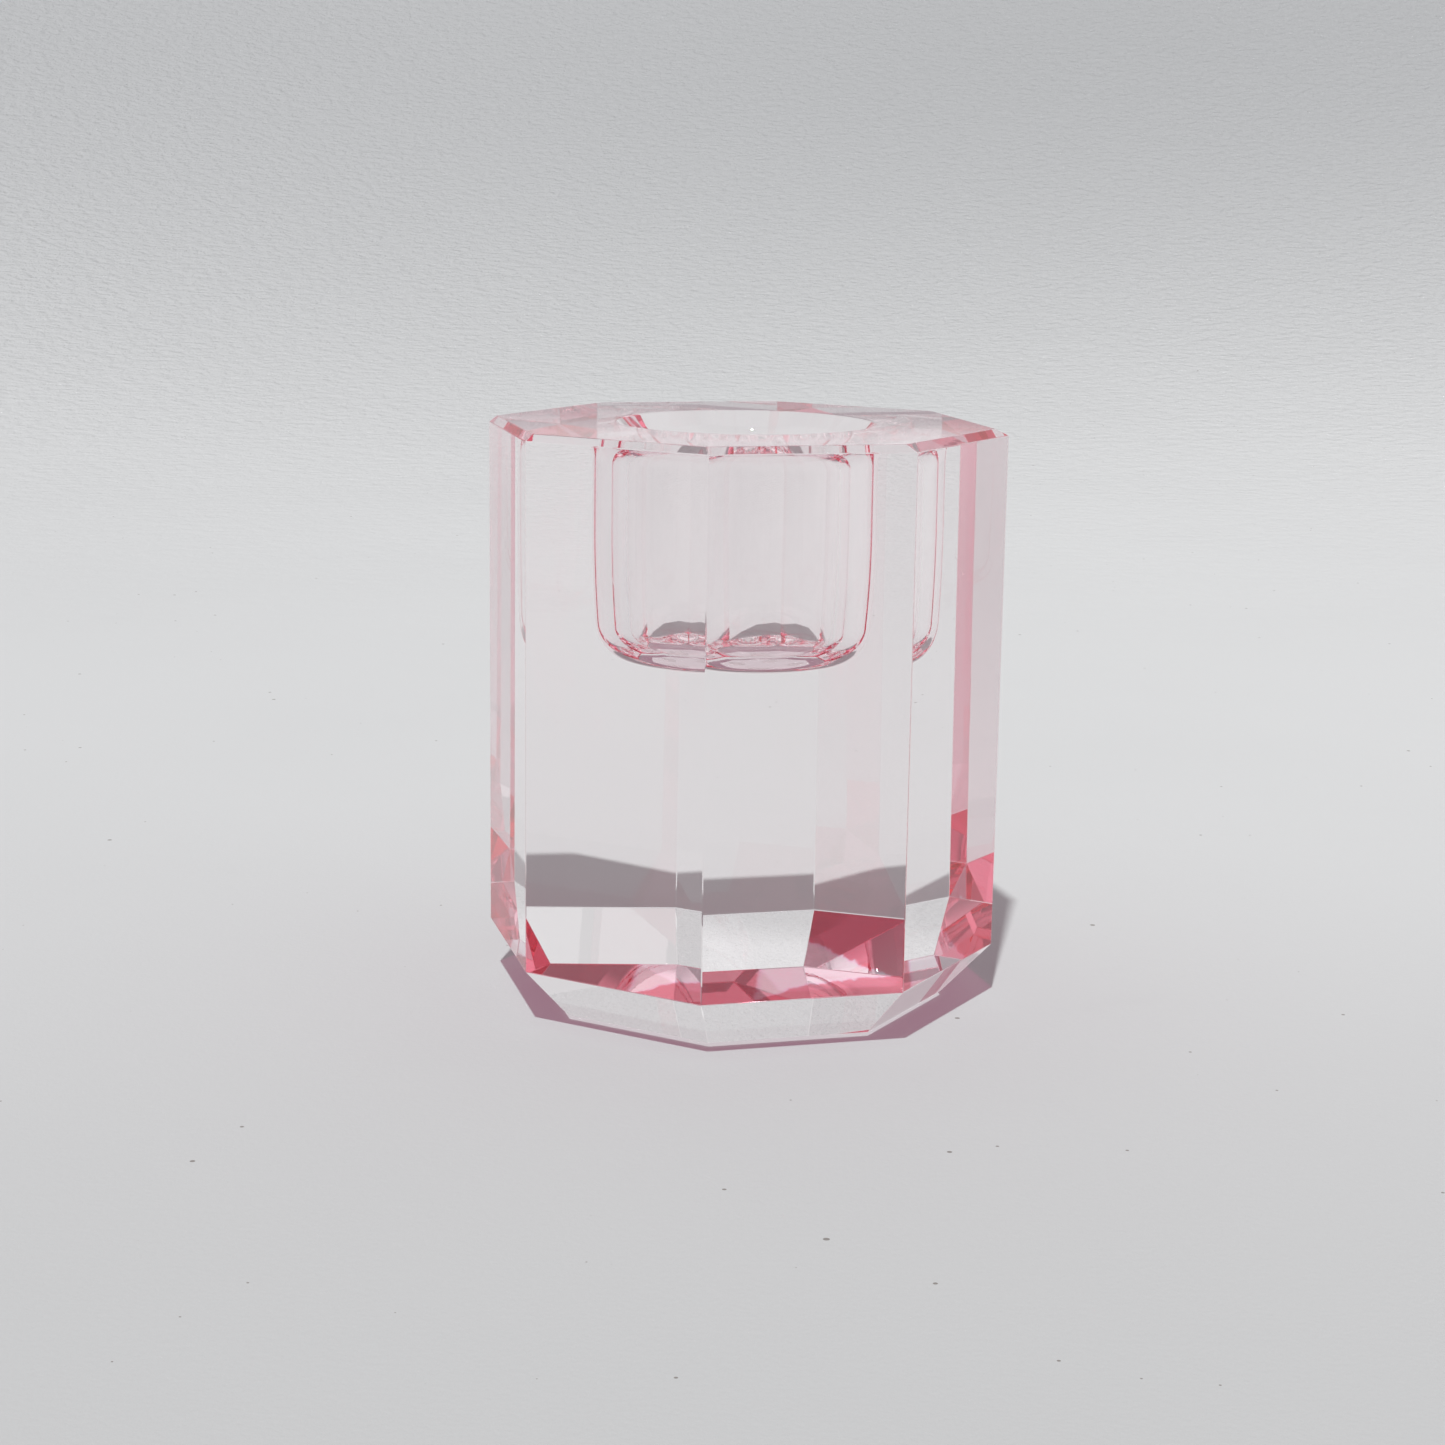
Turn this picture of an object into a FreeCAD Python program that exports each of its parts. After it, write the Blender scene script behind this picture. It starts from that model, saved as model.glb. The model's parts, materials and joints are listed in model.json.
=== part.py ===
import FreeCAD, Part
import math
import os
import Sketcher

# Cut crystal candlestick: one eight-sided block of polished crystal with a candle cup
# sunk in its top face, standing on four clear self-adhesive bumpers.
# Frame: +Z up, origin on the table under the block's axis, the front facet faces -Y.

SIDES = 8
HALF_FACET = 180.0 / SIDES

# Driving dimensions, millimetres and degrees: alias, value, what it measures.
DIMENSIONS = [
    ("across_flats", 50.0, "block, facet to opposite facet"),
    ("block_height", 60.0, "block, base face to top face"),
    ("base_bevel_inset", 4.8, "base bevel, measured along the base face"),
    ("base_bevel_rise", 5.5, "base bevel, measured up the facets"),
    ("top_bevel_inset", 1.1, "top bevel, measured along the top face"),
    ("top_bevel_drop", 0.7, "top bevel, measured down the facets"),
    ("candle_diameter", 22.0, "dinner candle that the cup takes"),
    ("candle_clearance", 0.3, "gap between candle and cup wall, each side"),
    ("cup_depth", 24.5, "cup, top face to the lowest point of its floor"),
    ("straight_depth", 10.0, "cup, top face to where the wall starts to close in"),
    ("closing_radius", 120.0, "cup, long round by which the lower wall closes in"),
    ("corner_radius", 4.0, "cup, round between lower wall and floor"),
    ("dish_radius", 40.0, "cup, hollow of the dished floor"),
    ("mouth_flare", 2.2, "cup, how far the mouth's cone opens beyond the wall"),
    ("mouth_angle", 45.0, "cup, lean of the mouth's cone from upright"),
    ("mouth_round", 3.0, "cup, round between the mouth's cone and the wall"),
    ("bumper_diameter", 8.0, "clear bumper dot"),
    ("bumper_thickness", 0.5, "clear bumper dot, lifts the glass off the table"),
    ("bumper_rim_radius", 0.2, "round on the bumper's lower rim"),
    ("bumper_margin", 2.7, "glass left between bumper and edge of the base face"),
]

# Where each bumper sits, as a turn about +Z from +X.
BUMPER_TURNS = {
    "front_bumper": -90.0,
    "right_bumper": 0.0,
    "back_bumper": 90.0,
    "left_bumper": 180.0,
}

CUP_RADIUS = "(Sizes.candle_diameter / 2 + Sizes.candle_clearance)"
TOUCH = 1e-4
START, END, CENTRE = 1, 2, 3  # the sketcher's numbers for the points of a line or an arc


def make_sheet(doc):
    """The spreadsheet of driving dimensions, one alias per size."""
    sheet = doc.addObject("Spreadsheet::Sheet", "Sizes")
    for row, (alias, value, meaning) in enumerate(DIMENSIONS, start=1):
        sheet.set(f"A{row}", meaning)
        sheet.set(f"B{row}", str(value))
        sheet.setAlias(f"B{row}", alias)
    doc.recompute()
    return sheet


def new_body(doc, label):
    body = doc.addObject("PartDesign::Body", label)
    body.Label = label
    return body


def new_sketch(body, name, role):
    """A sketch on one of the body's own origin planes."""
    plane = next(item for item in body.Origin.OriginFeatures if item.Role == role)
    sketch = body.newObject("Sketcher::SketchObject", name)
    sketch.AttachmentSupport = [(plane, "")]
    sketch.MapMode = "FlatFace"
    return sketch


def bind(sketch, name, expression, *constraint):
    """Add a dimension to a sketch and bind it to the sheet."""
    index = sketch.addConstraint(Sketcher.Constraint(*constraint))
    sketch.renameConstraint(index, name)
    sketch.setExpression(f"Constraints.{name}", expression)


def join(sketch, first, second, smooth=False):
    """Hold the end of one line or arc on the start of the next, tangent where it is smooth."""
    kind = "Tangent" if smooth else "Coincident"
    sketch.addConstraint(Sketcher.Constraint(kind, first, END, second, START))


def draw_circle(sketch, name, expression, radius):
    """A circle about the sketch's origin."""
    circle = sketch.addGeometry(Part.Circle(FreeCAD.Vector(), FreeCAD.Vector(0, 0, 1), radius), False)
    sketch.addConstraint(Sketcher.Constraint("Coincident", circle, CENTRE, -1, START))
    bind(sketch, name, expression, "Radius", circle, radius)
    return circle


def draw_octagon(sketch, sheet):
    """A regular octagon with a flat towards -Y, its corners held on a construction circle."""
    reach = sheet.across_flats / 2 / math.cos(math.radians(HALF_FACET))
    corners = []
    for number in range(SIDES + 1):
        turn = math.radians(-90.0 - HALF_FACET + number * 2 * HALF_FACET)
        corners.append(FreeCAD.Vector(math.cos(turn), math.sin(turn), 0) * reach)
    flats = []
    for start, end in zip(corners, corners[1:]):
        flats.append(sketch.addGeometry(Part.LineSegment(start, end), False))
    expression = f"Sizes.across_flats / 2 / cos({HALF_FACET} deg)"
    circle = draw_circle(sketch, "corner_reach", expression, reach)
    sketch.toggleConstruction(circle)
    for number, flat in enumerate(flats):
        join(sketch, flat, flats[(number + 1) % SIDES])
        sketch.addConstraint(Sketcher.Constraint("PointOnObject", flat, START, circle))
    for flat in flats[1:]:
        sketch.addConstraint(Sketcher.Constraint("Equal", flats[0], flat))
    sketch.addConstraint(Sketcher.Constraint("Horizontal", flats[0]))


def arc_between(centre, radius, start, end):
    """An arc about a centre, anticlockwise from the start angle to the end angle, in radians."""
    circle = Part.Circle(centre, FreeCAD.Vector(0, 0, 1), radius)
    return Part.ArcOfCircle(circle, start, end)


def draw_cup(sketch, sheet):
    """Half the cup's section: axis at x = 0, floor dish, lower wall, straight wall, mouth."""
    wall = sheet.candle_diameter / 2 + sheet.candle_clearance
    top = sheet.block_height
    lean = math.radians(sheet.mouth_angle)
    floor_centre = FreeCAD.Vector(0, top - sheet.cup_depth, 0)

    # The dish's centre is on the axis, the closing round's is level with the wall's lower end,
    # and the corner round touches both from inside.
    dish_centre = floor_centre + FreeCAD.Vector(0, sheet.dish_radius, 0)
    closing_centre = FreeCAD.Vector(wall - sheet.closing_radius, top - sheet.straight_depth, 0)
    from_dish = sheet.dish_radius - sheet.corner_radius
    from_closing = sheet.closing_radius - sheet.corner_radius
    across = closing_centre - dish_centre
    along = (across.Length**2 + from_dish**2 - from_closing**2) / (2 * across.Length)
    aside = math.sqrt(from_dish**2 - along**2)
    across.normalize()
    corner_centre = dish_centre + across * along + FreeCAD.Vector(-across.y, across.x, 0) * aside
    dish_turn = math.atan2(corner_centre.y - dish_centre.y, corner_centre.x - dish_centre.x)
    closing_turn = math.atan2(corner_centre.y - closing_centre.y, corner_centre.x - closing_centre.x)

    drop = sheet.mouth_flare / math.tan(lean)
    round_drop = drop + sheet.mouth_round * math.tan(lean / 2)
    round_centre = FreeCAD.Vector(wall + sheet.mouth_round, top - round_drop, 0)
    mouth_rim = FreeCAD.Vector(wall + sheet.mouth_flare, top, 0)

    dish = arc_between(dish_centre, sheet.dish_radius, -math.pi / 2, dish_turn)
    corner = arc_between(corner_centre, sheet.corner_radius, dish_turn, closing_turn)
    closing = arc_between(closing_centre, sheet.closing_radius, closing_turn, 0)
    mouth_round = arc_between(round_centre, sheet.mouth_round, math.pi - lean, math.pi)
    straight = Part.LineSegment(closing.EndPoint, mouth_round.EndPoint)
    cone = Part.LineSegment(mouth_round.StartPoint, mouth_rim)
    lid = Part.LineSegment(mouth_rim, FreeCAD.Vector(0, top, 0))
    axis = Part.LineSegment(FreeCAD.Vector(0, top, 0), floor_centre)
    outline = [dish, corner, closing, straight, mouth_round, cone, lid, axis]
    dish, corner, closing, straight, mouth_round, cone, lid, axis = sketch.addGeometry(outline, False)

    join(sketch, dish, corner, smooth=True)
    join(sketch, corner, closing, smooth=True)
    join(sketch, closing, straight, smooth=True)
    sketch.addConstraint(Sketcher.Constraint("Tangent", straight, END, mouth_round, END))
    sketch.addConstraint(Sketcher.Constraint("Tangent", mouth_round, START, cone, START))
    join(sketch, cone, lid)
    join(sketch, lid, axis)
    join(sketch, axis, dish)
    sketch.addConstraint(Sketcher.Constraint("Vertical", straight))
    sketch.addConstraint(Sketcher.Constraint("Horizontal", lid))
    sketch.addConstraint(Sketcher.Constraint("PointOnObject", axis, START, -2))
    sketch.addConstraint(Sketcher.Constraint("PointOnObject", axis, END, -2))
    sketch.addConstraint(Sketcher.Constraint("PointOnObject", dish, CENTRE, -2))

    bind(sketch, "top", "Sizes.block_height", "DistanceY", -1, START, axis, START, top)
    bind(sketch, "depth", "Sizes.cup_depth", "DistanceY", axis, END, axis, START, sheet.cup_depth)
    bind(sketch, "wall", CUP_RADIUS, "DistanceX", -1, START, straight, START, wall)
    straight_end = ("DistanceY", straight, START, axis, START, sheet.straight_depth)
    bind(sketch, "straight_end", "Sizes.straight_depth", *straight_end)
    rim = ("DistanceX", axis, START, cone, END, mouth_rim.x)
    bind(sketch, "rim", f"{CUP_RADIUS} + Sizes.mouth_flare", *rim)
    bind(sketch, "cone_rise", "(90 - Sizes.mouth_angle) * 1 deg", "Angle", cone, math.pi / 2 - lean)
    bind(sketch, "dish_radius", "Sizes.dish_radius", "Radius", dish, sheet.dish_radius)
    bind(sketch, "corner_radius", "Sizes.corner_radius", "Radius", corner, sheet.corner_radius)
    bind(sketch, "closing_radius", "Sizes.closing_radius", "Radius", closing, sheet.closing_radius)
    bind(sketch, "mouth_round", "Sizes.mouth_round", "Radius", mouth_round, sheet.mouth_round)


def pad(body, name, sketch, length):
    feature = body.newObject("PartDesign::Pad", name)
    feature.Profile = sketch
    feature.setExpression("Length", length)
    body.Document.recompute()
    return feature


def ring_of_edges(feature, height, curve):
    """Names of the feature's edges that lie flat at this height and are of this kind of curve."""
    names = []
    for number, edge in enumerate(feature.Shape.Edges, start=1):
        box = edge.BoundBox
        level = abs(box.ZMin - height) < TOUCH and abs(box.ZMax - height) < TOUCH
        if level and isinstance(edge.Curve, curve):
            names.append(f"Edge{number}")
    return names


def bevel(body, name, base, edges, first, second):
    """A flat bevel with its own size on each of the two faces."""
    feature = body.newObject("PartDesign::Chamfer", name)
    feature.Base = (base, edges)
    feature.ChamferType = "Two distances"
    feature.setExpression("Size", first)
    feature.setExpression("Size2", second)
    body.Document.recompute()
    return feature


def make_crystal_block(doc, sheet):
    """The one piece of glass: octagonal prism, bevelled top and bottom, with the candle cup."""
    body = new_body(doc, "crystal_block")
    body.setExpression("Placement.Base.z", "Sizes.bumper_thickness")

    outline = new_sketch(body, "block_outline", "XY_Plane")
    draw_octagon(outline, sheet)
    prism = pad(body, "block_prism", outline, "Sizes.block_height")

    base_edges = ring_of_edges(prism, 0.0, Part.Line)
    based = bevel(body, "base_bevel", prism, base_edges, "Sizes.base_bevel_rise", "Sizes.base_bevel_inset")
    top_edges = ring_of_edges(based, sheet.block_height, Part.Line)
    topped = bevel(body, "top_bevel", based, top_edges, "Sizes.top_bevel_inset", "Sizes.top_bevel_drop")

    section = new_sketch(body, "cup_section", "XZ_Plane")
    draw_cup(section, sheet)
    cup = body.newObject("PartDesign::Groove", "candle_cup")
    cup.Profile = section
    cup.ReferenceAxis = (section, ["V_Axis"])
    cup.Angle = 360.0
    doc.recompute()
    half_section = Part.Face(Part.Wire(Part.__sortEdges__(section.Shape.Edges)))
    # Pappus: a turned section's volume is its area times the way of its centre.
    cup_volume = half_section.Area * 2 * math.pi * half_section.CenterOfMass.x
    if abs(topped.Shape.Volume - cup.Shape.Volume - cup_volume) > TOUCH * cup_volume:
        raise RuntimeError("the candle cup wasn't cut out of the block")
    return body


def make_bumper(doc, sheet, label, turn):
    """One clear disc stuck to the base face, its upper face against the glass."""
    body = new_body(doc, label)
    reach = (
        "(Sizes.across_flats / 2 - Sizes.base_bevel_inset"
        " - Sizes.bumper_margin - Sizes.bumper_diameter / 2)"
    )
    body.setExpression("Placement.Base.x", f"{reach} * cos({turn} deg)")
    body.setExpression("Placement.Base.y", f"{reach} * sin({turn} deg)")

    outline = new_sketch(body, f"{label}_outline", "XY_Plane")
    draw_circle(outline, "bumper_radius", "Sizes.bumper_diameter / 2", sheet.bumper_diameter / 2)
    disc = pad(body, f"{label}_disc", outline, "Sizes.bumper_thickness")

    rim = body.newObject("PartDesign::Fillet", f"{label}_rim")
    rim.Base = (disc, ring_of_edges(disc, 0.0, Part.Circle))
    rim.setExpression("Radius", "Sizes.bumper_rim_radius")
    return body


def check_document(doc, parts):
    """Every object has recomputed and every sub-part is one valid solid."""
    for item in doc.Objects:
        if "Invalid" in item.State or "Error" in item.State:
            raise RuntimeError(f"{item.Name} did not recompute: {item.State}")
    for item in parts:
        if item.Shape.isNull() or not item.Shape.isValid() or len(item.Shape.Solids) != 1:
            raise RuntimeError(f"{item.Label} is not one valid solid")


def check_bevels(body, sheet):
    """Each bevel took its inset along the flat face and its other size along the facets."""
    base = sheet.bumper_thickness
    wanted = {
        base: sheet.across_flats / 2 - sheet.base_bevel_inset,
        base + sheet.block_height: sheet.across_flats / 2 - sheet.top_bevel_inset,
    }
    for height, reach in wanted.items():
        level = [face for face in body.Shape.Faces if face.BoundBox.ZLength < TOUCH]
        flat = next(face for face in level if abs(face.BoundBox.ZMin - height) < TOUCH)
        if abs(flat.BoundBox.YMax - reach) > TOUCH:
            raise RuntimeError(f"the flat face at {height} reaches {flat.BoundBox.YMax}, not {reach}")


doc = FreeCAD.newDocument("crystal_candlestick")
sheet = make_sheet(doc)
block = make_crystal_block(doc, sheet)
bumpers = [make_bumper(doc, sheet, label, turn) for label, turn in BUMPER_TURNS.items()]
doc.recompute()

parts = [block] + bumpers
check_document(doc, parts)
check_bevels(block, sheet)

os.makedirs("parts", exist_ok=True)
for part in parts:
    part.Shape.exportStep(os.path.join("parts", part.Label + ".step"))
    print(f"{part.Label}: {part.Shape.Volume:.1f} mm3")
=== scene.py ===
import json
import math

import bmesh
import bpy
from mathutils import Matrix, Vector, noise


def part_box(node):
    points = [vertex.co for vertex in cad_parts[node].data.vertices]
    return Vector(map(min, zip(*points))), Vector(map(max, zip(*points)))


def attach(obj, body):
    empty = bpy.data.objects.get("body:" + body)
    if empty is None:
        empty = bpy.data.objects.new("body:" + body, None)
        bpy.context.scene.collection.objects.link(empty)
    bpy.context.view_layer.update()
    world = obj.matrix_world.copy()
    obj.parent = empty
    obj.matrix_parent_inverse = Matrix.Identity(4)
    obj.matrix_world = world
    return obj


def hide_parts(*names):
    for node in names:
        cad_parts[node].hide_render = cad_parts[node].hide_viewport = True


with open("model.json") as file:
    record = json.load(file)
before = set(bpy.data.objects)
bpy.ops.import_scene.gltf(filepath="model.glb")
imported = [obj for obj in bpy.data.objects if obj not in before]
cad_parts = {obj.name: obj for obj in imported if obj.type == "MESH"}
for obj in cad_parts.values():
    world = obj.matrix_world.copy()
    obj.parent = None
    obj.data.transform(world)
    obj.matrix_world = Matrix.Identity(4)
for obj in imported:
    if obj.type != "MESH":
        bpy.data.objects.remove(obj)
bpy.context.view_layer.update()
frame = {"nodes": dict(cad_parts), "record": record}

# ---- Sizes, in metres ----

# The block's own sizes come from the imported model, and the cup's radius from its mount.
MM = 0.001
FACETS = 8
block_low, block_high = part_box("crystal_block")
half_flats = (block_high.x - block_low.x) / 2
top = block_high.z
cup_mount = next(m for m in frame["record"]["mounts"] if m["name"] == "candle_cup")
wall_radius = cup_mount["dims"]["r_mm"] * MM

BLANK_SIZE = 200 * MM
CUT_TOLERANCE = 1e-9
WELD_DISTANCE = 1e-7
BASE_BEVEL_INSET = 4.8 * MM
BASE_BEVEL_RISE = 5.5 * MM
TOP_BEVEL_DROP = 0.7 * MM
# Hand grinding leaves the top bevel a little wider on one side of the block than on the other.
TOP_BEVEL_INSET = 1.1 * MM
TOP_BEVEL_DRIFT = 0.4 * MM
WIDEST_TOP_BEVEL = math.radians(25)
ARRIS = 0.07 * MM
SEAT_GAP = 0.004 * MM

CUP_DEPTH = 24.5 * MM
STRAIGHT_DEPTH = 10.0 * MM
CLOSING_RADIUS = 120.0 * MM
CORNER_RADIUS = 4.0 * MM
DISH_RADIUS = 40.0 * MM
MOUTH_FLARE = 2.2 * MM
MOUTH_ROUND = 3.0 * MM
CUP_TURNS = 256
OUTLINE_STEP = 0.2 * MM

# The polished wall stands off its true circle by a little, in long soft waves.
WALL_WAVE = 0.02 * MM
WAVES_ROUND = 1.7
WAVE_LENGTH = 14 * MM
WAVE_FADE = 5 * MM
WAVE_START = Vector((3.1, 8.2, 1.4))

# A face that looks down more steeply than this is bevel, and one that is level is base.
BEVEL_FALL = 0.4
LEVEL = 0.999


# ---- Node writing ----

class Value:
    """One output of a material's nodes. Python's operators on it add Math nodes."""

    def __init__(self, recipe, socket):
        self.recipe = recipe
        self.socket = socket

    def maths(self, operation, first, second=0.0):
        made = self.recipe.node("ShaderNodeMath", {"operation": operation}, {0: first, 1: second})
        return made.out(0)

    def __add__(self, other):
        return self.maths("ADD", self, other)

    def __radd__(self, other):
        return self.maths("ADD", other, self)

    def __sub__(self, other):
        return self.maths("SUBTRACT", self, other)

    def __rsub__(self, other):
        return self.maths("SUBTRACT", other, self)

    def __mul__(self, other):
        return self.maths("MULTIPLY", self, other)

    def __rmul__(self, other):
        return self.maths("MULTIPLY", other, self)

    def __pow__(self, other):
        return self.maths("POWER", self, other)

    def __gt__(self, other):
        return self.maths("GREATER_THAN", self, other)

    def __abs__(self):
        return self.maths("ABSOLUTE", self)

    def larger(self, other):
        return self.maths("MAXIMUM", self, other)

    def ramp(self, start, end, low=0.0, high=1.0):
        """Low before start, high after end, and a smooth step between them."""
        made = self.recipe.node(
            "ShaderNodeMapRange",
            {"interpolation_type": "SMOOTHSTEP", "clamp": True},
            {"Value": self, "From Min": start, "From Max": end, "To Min": low, "To Max": high},
        )
        return made.out("Result")


class Made:
    """A node that was just added."""

    def __init__(self, recipe, bare):
        self.recipe = recipe
        self.bare = bare

    def out(self, name):
        return Value(self.recipe, self.bare.outputs[name])


class Recipe:
    """The nodes of one material or of the world."""

    def __init__(self, tree):
        self.tree = tree
        tree.nodes.clear()

    def node(self, kind, settings=None, sockets=None):
        bare = self.tree.nodes.new(kind)
        for name, value in (settings or {}).items():
            setattr(bare, name, value)
        for name, value in (sockets or {}).items():
            if isinstance(value, Value):
                self.tree.links.new(value.socket, bare.inputs[name])
            else:
                bare.inputs[name].default_value = value
        return Made(self, bare)

    def position(self):
        return self.node("ShaderNodeTexCoord").out("Object")

    def stretched(self, vector, scale):
        return self.node("ShaderNodeMapping", {}, {"Vector": vector, "Scale": scale}).out("Vector")

    def noise(self, vector, scale, detail=2.0, roughness=0.5, distortion=0.0):
        sockets = {"Vector": vector, "Scale": scale, "Detail": detail}
        sockets.update({"Roughness": roughness, "Distortion": distortion})
        return self.node("ShaderNodeTexNoise", {}, sockets).out("Fac")

    def cells(self, vector, scale, feature="F1", dimensions="3D"):
        settings = {"voronoi_dimensions": dimensions, "feature": feature}
        sockets = {"Vector": vector, "Scale": scale}
        return self.node("ShaderNodeTexVoronoi", settings, sockets).out("Distance")

    def axes(self, vector):
        """The three numbers of a vector."""
        apart = self.node("ShaderNodeSeparateXYZ", {}, {0: vector})
        return apart.out("X"), apart.out("Y"), apart.out("Z")

    def blended(self, factor, first, second):
        """A colour between two, each a colour or a Value."""
        made = self.node("ShaderNodeMix", {"data_type": "RGBA"}, {0: factor, 6: first, 7: second})
        return made.out(2)

    def glass(self, colour, roughness, normal):
        sockets = {"Color": colour, "Roughness": roughness, "Normal": normal, "IOR": CRYSTAL_IOR}
        return self.node("ShaderNodeBsdfGlass", {}, sockets).out(0)

    def letting_through(self, colour):
        """Light that passes straight on and is only tinted."""
        return self.node("ShaderNodeBsdfTransparent", {}, {"Color": colour}).out(0)

    def mixed(self, factor, first, second):
        """Two shaders mixed."""
        return self.node("ShaderNodeMixShader", {}, {0: factor, 1: first, 2: second}).out(0)

    def bump(self, height, strength, distance):
        sockets = {"Height": height, "Strength": strength, "Distance": distance}
        return self.node("ShaderNodeBump", {}, sockets).out("Normal")


def material(name):
    made = bpy.data.materials.new(name)
    made.use_nodes = True
    return made, Recipe(made.node_tree)


# ---- The crystal block ----

def side_normal(index, rise=0.0):
    turn = 2 * math.pi * index / FACETS
    return Vector((math.cos(turn), math.sin(turn), rise)).normalized()


def grind(mesh, point, normal):
    """Cuts away what lies outside a plane and leaves a flat face there."""
    parts = mesh.verts[:] + mesh.edges[:] + mesh.faces[:]
    cut = bmesh.ops.bisect_plane(
        mesh, geom=parts, plane_co=point, plane_no=normal, clear_outer=True, dist=CUT_TOLERANCE,
    )
    edges = [part for part in cut["geom_cut"] if isinstance(part, bmesh.types.BMEdge)]
    bmesh.ops.contextual_create(mesh, geom=edges)


def top_inset(index):
    turn = 2 * math.pi * index / FACETS
    return TOP_BEVEL_INSET + TOP_BEVEL_DRIFT * math.cos(turn - WIDEST_TOP_BEVEL)


def ground_blank():
    """The octagonal prism with its base and top bevels, with every edge left as a fine arris."""
    mesh = bmesh.new()
    bmesh.ops.create_cube(mesh, size=BLANK_SIZE)
    bottom = block_low.z + SEAT_GAP
    grind(mesh, Vector((0, 0, top)), Vector((0, 0, 1)))
    grind(mesh, Vector((0, 0, bottom)), Vector((0, 0, -1)))
    for index in range(FACETS):
        outward = side_normal(index)
        grind(mesh, outward * half_flats, outward)
    for index in range(FACETS):
        outward = side_normal(index)
        on_base = outward * (half_flats - BASE_BEVEL_INSET) + Vector((0, 0, bottom))
        grind(mesh, on_base, side_normal(index, -BASE_BEVEL_INSET / BASE_BEVEL_RISE))
        on_top = outward * (half_flats - top_inset(index)) + Vector((0, 0, top))
        grind(mesh, on_top, side_normal(index, top_inset(index) / TOP_BEVEL_DROP))
    bmesh.ops.remove_doubles(mesh, verts=mesh.verts[:], dist=WELD_DISTANCE)
    bmesh.ops.bevel(
        mesh, geom=mesh.edges[:], offset=ARRIS, offset_type="OFFSET", segments=2, profile=0.5,
        affect="EDGES", clamp_overlap=True,
    )
    for face in mesh.faces:
        face.smooth = min(edge.calc_length() for edge in face.edges) < ARRIS
        face.material_index = BEVEL if face.normal.z < -BEVEL_FALL else SIDE
        if face.normal.z < -LEVEL:
            face.material_index = BASE
    return mesh


def circles_meet(first, first_radius, second, second_radius):
    """The lower right point that lies on both circles."""
    apart = second - first
    gap = apart.length
    along = (first_radius ** 2 - second_radius ** 2 + gap ** 2) / (2 * gap)
    aside = math.sqrt(first_radius ** 2 - along ** 2)
    foot = first + apart * (along / gap)
    across = Vector((apart.y, -apart.x)) / gap * aside
    return min(foot + across, foot - across, key=lambda point: point.y)


def arc(centre, radius, start, end, step):
    """Points on an arc from one angle to another, both ends included."""
    count = max(2, round(abs(end - start) * radius / step))
    turns = [start + (end - start) * index / count for index in range(count + 1)]
    return [centre + radius * Vector((math.cos(turn), math.sin(turn))) for turn in turns]


def line(start, end, step):
    count = max(2, round((end - start).length / step))
    return [start.lerp(end, index / count) for index in range(count + 1)]


def heading(vector):
    return math.atan2(vector.y, vector.x)


def cup_profile():
    """Half of the cup's outline as (radius, depth below the top), from the mouth to the axis."""
    step = OUTLINE_STEP
    slope = math.pi / 4
    cone_start = Vector((wall_radius + MOUTH_FLARE, 0))
    round_height = MOUTH_ROUND * math.sin(slope)
    round_reach = MOUTH_ROUND * (1 - math.cos(slope))
    cone_end = cone_start - Vector((1, 1)) * (MOUTH_FLARE - round_reach)
    round_centre = Vector((wall_radius + MOUTH_ROUND, cone_end.y - round_height))
    closing_centre = Vector((wall_radius - CLOSING_RADIUS, -STRAIGHT_DEPTH))
    dish_centre = Vector((0, DISH_RADIUS - CUP_DEPTH))
    corner_centre = circles_meet(
        closing_centre, CLOSING_RADIUS - CORNER_RADIUS, dish_centre, DISH_RADIUS - CORNER_RADIUS,
    )
    closing_end = heading(corner_centre - closing_centre)
    dish_start = heading(corner_centre - dish_centre)
    outline = line(cone_start, cone_end, step)
    outline += arc(round_centre, MOUTH_ROUND, math.pi - slope, math.pi, step)[1:]
    outline += line(outline[-1], Vector((wall_radius, -STRAIGHT_DEPTH)), step)[1:]
    outline += arc(closing_centre, CLOSING_RADIUS, 0.0, closing_end, step)[1:]
    outline += arc(corner_centre, CORNER_RADIUS, closing_end, dish_start, step / 2)[1:]
    outline += arc(dish_centre, DISH_RADIUS, dish_start, -math.pi / 2, step)[1:]
    return outline


def wall_wave(turn, depth):
    """How far the polished wall stands off its true circle. The waves fade out at the mouth."""
    at = Vector((math.cos(turn) * WAVES_ROUND, math.sin(turn) * WAVES_ROUND, depth / WAVE_LENGTH))
    fade = min(1.0, -depth / WAVE_FADE)
    return WALL_WAVE * fade * noise.noise(at + WAVE_START)


def turn_of(vertex):
    return math.atan2(vertex.co.y, vertex.co.x) % (2 * math.pi)


def face_between(mesh, outer, inner):
    """Flat triangles between two rings round the axis, each ring a list of vertices."""
    rings = (sorted(outer, key=turn_of), sorted(inner, key=turn_of))
    steps = sorted((turn_of(vertex), which) for which, ring in enumerate(rings) for vertex in ring[1:])
    steps += [(2 * math.pi, 0), (2 * math.pi, 1)]
    at = [0, 0]
    made = []
    for _, which in steps:
        here, there = (ring[step % len(ring)] for ring, step in zip(rings, at))
        at[which] += 1
        made.append(mesh.faces.new((here, rings[which][at[which] % len(rings[which])], there)))
    return made


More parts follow.
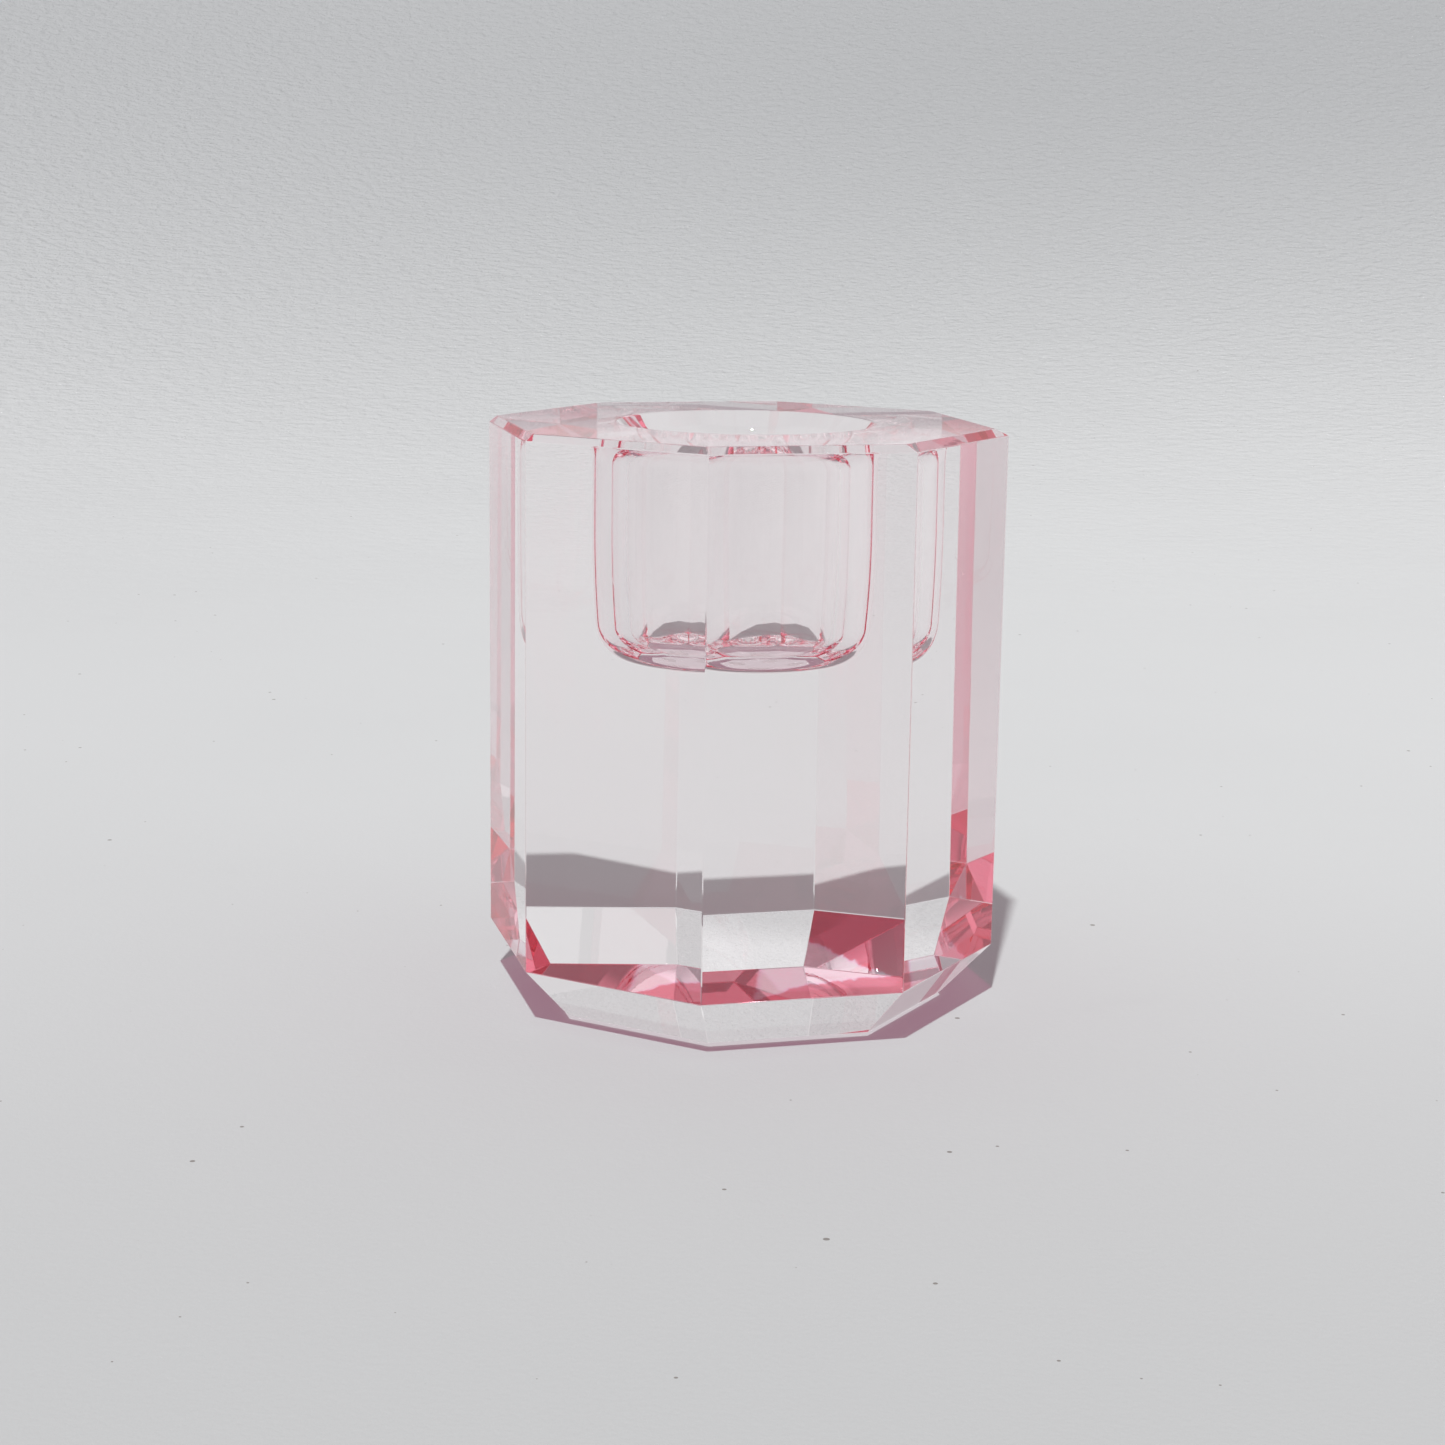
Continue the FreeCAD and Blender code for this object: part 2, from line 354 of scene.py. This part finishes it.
def drill_cup(mesh):
    """Opens the top face and lines the cup, with the floor closed at the axis."""
    lid = max(mesh.faces, key=lambda face: (face.normal.z > LEVEL) * face.calc_area())
    rim = lid.verts[:]
    bmesh.ops.delete(mesh, geom=[lid], context="FACES_ONLY")
    rings = []
    for radius, depth in cup_profile()[:-1]:
        ring = []
        for index in range(CUP_TURNS):
            turn = 2 * math.pi * index / CUP_TURNS
            reach = radius + wall_wave(turn, depth) * min(1.0, radius / wall_radius)
            at = (reach * math.cos(turn), reach * math.sin(turn), top + depth)
            ring.append(mesh.verts.new(at))
        rings.append(ring)
    pole = mesh.verts.new((0, 0, top - CUP_DEPTH))
    lining = []
    for index in range(CUP_TURNS):
        after = (index + 1) % CUP_TURNS
        for upper, lower in zip(rings, rings[1:]):
            lining.append(mesh.faces.new((upper[index], upper[after], lower[after], lower[index])))
        lining.append(mesh.faces.new((rings[-1][index], rings[-1][after], pole)))
    for face in lining:
        face.smooth = True
        face.material_index = UPPER
    for face in face_between(mesh, rim, rings[0]):
        face.material_index = UPPER
    bmesh.ops.recalc_face_normals(mesh, faces=mesh.faces[:])


def make_block():
    mesh = ground_blank()
    drill_cup(mesh)
    data = bpy.data.meshes.new("cut_crystal")
    mesh.to_mesh(data)
    mesh.free()
    block = bpy.data.objects.new("cut_crystal_block", data)
    bpy.context.scene.collection.objects.link(block)
    return block


# ---- Finishes ----

SIDE, UPPER, BASE, BEVEL = 0, 1, 2, 3
CRYSTAL_IOR = 1.52
CLEAR_GLASS = (1.0, 0.985, 0.988, 1)
ROSE_FILM = (1.0, 0.2, 0.36, 1)
DEEP_FILM = (0.8, 0.07, 0.18, 1)
BROWN_FILM = (0.6, 0.25, 0.25, 1)
# Painted light: the paler film colour of the patch low on the bevel.
PAINTED_LIGHT_FILM = (1.0, 0.5, 0.85, 1)

# Painted light: the film is paler below a sloping, ragged line on the bevel, past a start and a depth on
# the block, standing in for bright light that the block focuses onto the floor near its base.
PAINTED_LIGHT_HEIGHT = 6.1 * MM
PAINTED_LIGHT_SLOPE = 0.335
PAINTED_LIGHT_RAGGED = 1.6 * MM
PAINTED_LIGHT_EDGE = (-0.2 * MM, 0.4 * MM)
PAINTED_LIGHT_START = (3.0 * MM, 4.2 * MM)
PAINTED_LIGHT_DEPTH = (5.5 * MM, 8.5 * MM)
PAINTED_LIGHT_FILM_CUT = 0.85

# Where the film takes hold: just past the slant at which the glass starts to turn light back, then
# a little less again at wider slants.
TURNS_BACK = (0.235, 0.265)
WIDE_SLANT = (0.32, 0.42)
WIDE_SLANT_LOSS = 0.15

SMEAR_GRAIN = (70, 70, 25)
STREAK_GRAIN = (1900, 1900, 130)
SCRATCH_GRAIN = (420, 420, 60)
POLISHED = 0.004
POLISH_DEPTH = 0.1 * MM
LINT_CELLS = 190.0
LINT_SIZE = (0.022, 0.034)
LINT = (0.3, 0.26, 0.25, 1)
WAY_OUT = (0.97, 0.95, 0.96, 1)


class CrystalSkin:
    """Clear optical crystal under a thin rose film, as it is on one group of the block's faces.

    The film colours the light that strikes the face from inside. slant_film is its share where
    light only grazes the face, and turned_film its share of all light that the face turns back.
    direct_light and soft_light are what a lamp's straight light and the room's soft light keep
    on the way in through the face."""

    def __init__(self, name, slant_film, turned_film, film_colour, direct_light, soft_light):
        self.made, self.recipe = material(name)
        self.slant_film = slant_film
        self.turned_film = turned_film
        self.film_colour = film_colour
        self.direct_light = direct_light
        self.soft_light = soft_light

    def polish(self):
        """Roughness and bump: faint smears, drawn polishing streaks and a few hairlines."""
        recipe = self.recipe
        place = recipe.position()
        smear = recipe.noise(recipe.stretched(place, SMEAR_GRAIN), 1.0, 4.0, 0.6)
        streak = recipe.noise(recipe.stretched(place, STREAK_GRAIN), 1.0, 2.0, 0.5)
        scratch = recipe.cells(recipe.stretched(place, SCRATCH_GRAIN), 1.0, "DISTANCE_TO_EDGE")
        hairline = scratch.ramp(0.0, 0.008, 1.0, 0.0) * recipe.noise(place, 160.0).ramp(0.62, 0.7)
        roughness = POLISHED + smear.ramp(0.55, 0.8) * 0.01 + hairline * 0.2
        return roughness, recipe.bump(streak * 0.15 + smear - hairline * 0.3, 0.02, POLISH_DEPTH)

    def painted_light_patch(self, place):
        """Painted light: 1 where the film is made paler, low on the bevel along one side of the base, 0
        elsewhere.
        """
        across, depth, height = self.recipe.axes(place)
        ragged = (self.recipe.noise(place, 600.0, 4.0, 0.6) - 0.5) * PAINTED_LIGHT_RAGGED
        below = PAINTED_LIGHT_HEIGHT - across * PAINTED_LIGHT_SLOPE + ragged - height
        past = (across + ragged * 0.6).ramp(*PAINTED_LIGHT_START)
        return below.ramp(*PAINTED_LIGHT_EDGE) * past * (depth + ragged).ramp(*PAINTED_LIGHT_DEPTH)

    def finish(self):
        recipe = self.recipe
        roughness, polish = self.polish()
        place = recipe.position()
        slant = recipe.node("ShaderNodeLayerWeight", {}, {"Blend": 0.5}).out("Facing")
        inside = recipe.node("ShaderNodeNewGeometry").out("Backfacing")
        clear = recipe.glass(CLEAR_GLASS, roughness, polish)
        # Painted light: thin marks where the film is made paler to stand in for bright focused light near
        # the base.
        thin = self.painted_light_patch(place)
        film = recipe.mixed(
            thin.ramp(0.05, 0.6),
            recipe.glass(self.film_colour, roughness, polish),
            recipe.glass(PAINTED_LIGHT_FILM, roughness, polish),
        )
        turned = slant.ramp(*TURNS_BACK) * (1.0 - slant.ramp(*WIDE_SLANT) * WIDE_SLANT_LOSS)
        share = (slant ** 2.0) * self.slant_film + turned * self.turned_film
        skin = recipe.mixed(inside * share * (1.0 - thin * PAINTED_LIGHT_FILM_CUT), clear, film)
        speck = recipe.cells(place, LINT_CELLS).ramp(*LINT_SIZE, 1.0, 0.0)
        lint = speck * (recipe.noise(place, 77.0) > 0.63)
        dust = recipe.node("ShaderNodeBsdfDiffuse", {}, {"Color": LINT}).out(0)
        skin = recipe.mixed(lint * 0.8, skin, dust)
        path = recipe.node("ShaderNodeLightPath")
        way_out = recipe.letting_through(WAY_OUT)
        soft = recipe.mixed(inside, recipe.letting_through(self.soft_light), way_out)
        direct = recipe.mixed(inside, recipe.letting_through(self.direct_light), way_out)
        surface = recipe.mixed(path.out("Is Diffuse Ray"), skin, soft)
        surface = recipe.mixed(path.out("Is Shadow Ray"), surface, direct)
        recipe.node("ShaderNodeOutputMaterial", {}, {"Surface": surface})
        return self.made


BUMPER_IOR = 1.49
BUMPER_GRAIN = 0.05 * MM
CLEAN_BUMPER = (0.9, 0.9, 0.89, 1)
DUSTY_BUMPER = (0.72, 0.7, 0.67, 1)
BUMPER_LIGHT = (0.95, 0.94, 0.94, 1)


def clear_bumper():
    """Soft clear polyurethane with a satin skin, tiny bubbles and a little dust."""
    made, recipe = material("clear_bumper")
    place = recipe.position()
    grain = recipe.noise(place, 2600.0, 3.0)
    bubble = recipe.cells(place, 1500.0).ramp(0.05, 0.16, 1.0, 0.0)
    dust = recipe.noise(place, 700.0, 4.0).ramp(0.5, 0.8)
    skin = recipe.node(
        "ShaderNodeBsdfPrincipled", {},
        {
            "Base Color": recipe.blended(dust * 0.5, CLEAN_BUMPER, DUSTY_BUMPER),
            "Roughness": 0.18 + grain * 0.2 + dust * 0.2, "IOR": BUMPER_IOR,
            "Transmission Weight": 0.9, "Normal": recipe.bump(grain + bubble, 0.3, BUMPER_GRAIN),
        },
    )
    path = recipe.node("ShaderNodeLightPath")
    passing = path.out("Is Shadow Ray").larger(path.out("Is Diffuse Ray"))
    surface = recipe.mixed(passing, skin.out(0), recipe.letting_through(BUMPER_LIGHT))
    recipe.node("ShaderNodeOutputMaterial", {}, {"Surface": surface})
    return made


# The board's greys, each with the span, in metres, over which it takes over from the one before it. These
# greys are painted light and shade: they change across the board and up the wall the way the light falls
# off.
FRONT_PAINTED_SHADE = (0.585, 0.587, 0.59, 1)
MIDDLE_PAINTED_LIGHT, MIDDLE_SPAN = (0.725, 0.728, 0.732, 1), (-0.16, 0.1)
NEAREST_PAINTED_LIGHT, NEAREST_SPAN = (0.75, 0.753, 0.757, 1), (-0.18, -0.7)
FAR_PAINTED_SHADE, FAR_SPAN = (0.45, 0.455, 0.465, 1), (0.3, 1.3)
WALL_PAINTED_LIGHT, WALL_SPAN = (0.79, 0.795, 0.8, 1), (0.182, 0.2)
TOP_PAINTED_SHADE, TOP_SPAN = (0.6, 0.605, 0.61, 1), (0.27, 0.32)
LEFT_PAINTED_SHADE, LEFT_SPAN = (0.56, 0.565, 0.575, 1), (0.25, -0.25)
PEBBLE_SPAN = (0.15, 0.9)
PEBBLE_DEPTH = 0.8 * MM
SMUDGED_BOARD = (0.5, 0.5, 0.51, 1)
BOARD_SPECK = (0.2, 0.17, 0.15, 1)


def pale_board():
    """The matt sweep that the block stands on: smooth and almost clean near it, pebbled far behind, with
    painted light and shade in its greys.
    """
    made, recipe = material("pale_board")
    place = recipe.position()
    across, depth, height = recipe.axes(place)
    far = depth.ramp(*PEBBLE_SPAN)
    grain = recipe.noise(place, 1500.0, 3.0, 0.6)
    pebble = recipe.noise(place, 210.0, 3.0, 0.6)
    mottle = recipe.noise(place, 9.0, 3.0)
    size = recipe.noise(place, 55.0).ramp(0.5, 0.72) * 0.028
    speck = size > recipe.cells(place, 95.0, dimensions="2D")
    smudge = recipe.noise(place, 37.0, 3.0, 0.5, 0.4).ramp(0.66, 0.78)
    # Painted light and shade: the greys below change with place on the board the way the light falls off.
    colour = recipe.blended(depth.ramp(*MIDDLE_SPAN), FRONT_PAINTED_SHADE, MIDDLE_PAINTED_LIGHT)
    colour = recipe.blended(depth.ramp(*NEAREST_SPAN), colour, NEAREST_PAINTED_LIGHT)
    colour = recipe.blended(depth.ramp(*FAR_SPAN), colour, FAR_PAINTED_SHADE)
    colour = recipe.blended(height.ramp(*WALL_SPAN), colour, WALL_PAINTED_LIGHT)
    colour = recipe.blended(height.ramp(*TOP_SPAN), colour, TOP_PAINTED_SHADE)
    colour = recipe.blended(across.ramp(*LEFT_SPAN) * 0.3, colour, LEFT_PAINTED_SHADE)
    colour = recipe.blended(mottle.ramp(0.35, 0.7) * 0.06 + smudge * 0.05, colour, SMUDGED_BOARD)
    colour = recipe.blended(speck * 0.75, colour, BOARD_SPECK)
    skin = recipe.node(
        "ShaderNodeBsdfPrincipled", {},
        {
            "Base Color": colour, "Roughness": 0.75 + grain * 0.1, "Specular IOR Level": 0.1,
            "Normal": recipe.bump(grain * 0.08 + pebble * (far * 7.0 + 0.03), 0.6, PEBBLE_DEPTH),
        },
    )
    recipe.node("ShaderNodeOutputMaterial", {}, {"Surface": skin.out(0)})
    return made


# ---- Stage, light and camera ----

# The sweep is a round board, flat out to one radius, then bent up in an arc of another.
SWEEP_FLAT = 0.45
SWEEP_BEND = 2.4
SWEEP_CURL = math.radians(36)
SWEEP_MIDDLE = 2 * MM
SWEEP_RINGS = 24
SWEEP_STEP = 30 * MM
SWEEP_TURNS = 96

# Strengths of the room: what lights matt surfaces, and what is seen in the glass behind and overhead,
# at the sides and in front.
ROOM_LIGHT = 0.36
ROOM_SEEN = 0.72
ROOM_PALE = 1.0
ROOM_DIM = 0.36
ROOM_COLOUR = (0.985, 0.99, 1.0, 1)
SIDE_SPAN = (0.3, 0.62)
BACK_SPAN = (0.38, 0.7)
OVERHEAD_SPAN = (0.91, 0.955)

CAMERA_TURN = math.radians(-15.13)
CAMERA_PITCH = math.radians(11.587)
CAMERA_PAN = math.radians(-0.398)
CAMERA_ROLL = math.radians(0.802)
CAMERA_PLACE = Vector((0, -0.2828, 0.08675))
CAMERA_LENS = 68.14
CAMERA_SENSOR = 36.0
CAMERA_RANGE = (0.01, 20.0)

LAMP_TURN = CAMERA_TURN + math.radians(-9)
LAMP_RISE = math.radians(56)
LAMP_STRENGTH = 2.42
LAMP_SPREAD = math.radians(1.5)
LIGHT_BOUNCES = 40


def make_sweep(finish):
    """A round board that runs flat under the block and curls up all round, far from it."""
    rings = [(index / SWEEP_RINGS) ** 2 for index in range(SWEEP_RINGS + 1)]
    side = [Vector((SWEEP_MIDDLE + (SWEEP_FLAT - SWEEP_MIDDLE) * share, 0.0)) for share in rings]
    down = -math.pi / 2
    side += arc(Vector((SWEEP_FLAT, SWEEP_BEND)), SWEEP_BEND, down, SWEEP_CURL + down, SWEEP_STEP)[1:]
    points, faces = [], []
    for at in side:
        for index in range(SWEEP_TURNS):
            turn = 2 * math.pi * index / SWEEP_TURNS
            points.append((at.x * math.cos(turn), at.x * math.sin(turn), at.y))
    for row in range(len(side) - 1):
        for index in range(SWEEP_TURNS):
            after = (index + 1) % SWEEP_TURNS
            here, there = row * SWEEP_TURNS, (row + 1) * SWEEP_TURNS
            faces.append((here + index, there + index, there + after, here + after))
    faces.append(tuple(range(SWEEP_TURNS)))
    data = bpy.data.meshes.new("sweep")
    data.from_pydata(points, [], faces)
    for face in data.polygons:
        face.use_smooth = True
    sweep = bpy.data.objects.new("pale_sweep", data)
    sweep.rotation_euler.z = CAMERA_TURN
    sweep.data.materials.append(finish)
    bpy.context.scene.collection.objects.link(sweep)


def make_world():
    """An even soft room. Seen in the glass it is palest at the sides and dim in front."""
    world = bpy.data.worlds.new("soft_room")
    world.use_nodes = True
    bpy.context.scene.world = world
    recipe = Recipe(world.node_tree)
    path = recipe.node("ShaderNodeLightPath")
    aside, back, up = recipe.axes(recipe.node("ShaderNodeTexCoord").out("Generated"))
    pale = abs(aside).ramp(*SIDE_SPAN) * (ROOM_PALE - ROOM_DIM) + ROOM_DIM
    pale = pale + back.ramp(*BACK_SPAN).larger(up.ramp(*OVERHEAD_SPAN)) * (ROOM_SEEN - pale)
    seen = path.out("Is Camera Ray").larger(path.out("Is Glossy Ray"))
    seen = seen.larger(path.out("Is Transmission Ray"))
    strength = ROOM_LIGHT + seen * (pale - ROOM_LIGHT)
    room = recipe.node("ShaderNodeBackground", {}, {"Color": ROOM_COLOUR, "Strength": strength})
    recipe.node("ShaderNodeOutputWorld", {}, {"Surface": room.out(0)})


def make_key_light():
    """One hard lamp, high in front and a little to the left."""
    data = bpy.data.lights.new("key_light", "SUN")
    data.energy = LAMP_STRENGTH
    data.angle = LAMP_SPREAD
    lamp = bpy.data.objects.new("key_light", data)
    level = math.cos(LAMP_RISE)
    towards = Vector((math.sin(LAMP_TURN) * level, -math.cos(LAMP_TURN) * level, math.sin(LAMP_RISE)))
    lamp.rotation_mode = "QUATERNION"
    lamp.rotation_quaternion = towards.to_track_quat("Z", "Y")
    lamp.location = towards
    bpy.context.scene.collection.objects.link(lamp)


def make_camera():
    """The camera looks a little down on the block, from in front of the edge between two facets."""
    data = bpy.data.cameras.new("camera")
    data.sensor_width = CAMERA_SENSOR
    data.lens = CAMERA_LENS
    data.clip_start, data.clip_end = CAMERA_RANGE
    camera = bpy.data.objects.new("camera", data)
    level = math.cos(CAMERA_PITCH)
    forward = Vector((math.sin(CAMERA_PAN) * level, math.cos(CAMERA_PAN) * level, -math.sin(CAMERA_PITCH)))
    right = Vector((math.cos(CAMERA_PAN), -math.sin(CAMERA_PAN), 0))
    up = right.cross(forward)
    tilted_right = math.cos(CAMERA_ROLL) * right + math.sin(CAMERA_ROLL) * up
    tilted_up = math.cos(CAMERA_ROLL) * up - math.sin(CAMERA_ROLL) * right
    pose = Matrix((tilted_right, tilted_up, -forward)).transposed().to_4x4()
    pose.translation = CAMERA_PLACE
    camera.matrix_world = Matrix.Rotation(CAMERA_TURN, 4, "Z") @ pose
    bpy.context.scene.collection.objects.link(camera)
    bpy.context.scene.camera = camera


# ---- The build ----

block = make_block()
# In the order of the faces' numbers: SIDE, UPPER, BASE, BEVEL.
finishes = (
    CrystalSkin(
        "side_facets", slant_film=0.45, turned_film=0.0, film_colour=ROSE_FILM,
        direct_light=(0.08, 0.02, 0.04, 1), soft_light=(0.55, 0.2, 0.33, 1),
    ),
    CrystalSkin(
        "top_and_cup", slant_film=0.08, turned_film=0.0, film_colour=ROSE_FILM,
        direct_light=(0.96, 0.9, 0.92, 1), soft_light=(0.96, 0.93, 0.94, 1),
    ),
    CrystalSkin(
        "base_face", slant_film=0.4, turned_film=0.0, film_colour=BROWN_FILM,
        direct_light=(0.98, 0.86, 0.9, 1), soft_light=(0.96, 0.93, 0.94, 1),
    ),
    CrystalSkin(
        "base_bevel", slant_film=0.0, turned_film=0.82, film_colour=DEEP_FILM,
        direct_light=(0.28, 0.02, 0.1, 1), soft_light=(0.82, 0.6, 0.7, 1),
    ),
)
for finish in finishes:
    block.data.materials.append(finish.finish())
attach(block, "root")
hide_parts("crystal_block")

bumper_finish = clear_bumper()
for name, node in frame["nodes"].items():
    if name.endswith("_bumper"):
        for index in range(len(node.data.materials)):
            node.data.materials[index] = bumper_finish

make_sweep(pale_board())
make_world()
make_key_light()
make_camera()

scene = bpy.context.scene
scene.view_settings.view_transform = "Standard"
scene.cycles.max_bounces = LIGHT_BOUNCES
scene.cycles.transmission_bounces = LIGHT_BOUNCES
scene.cycles.glossy_bounces = LIGHT_BOUNCES
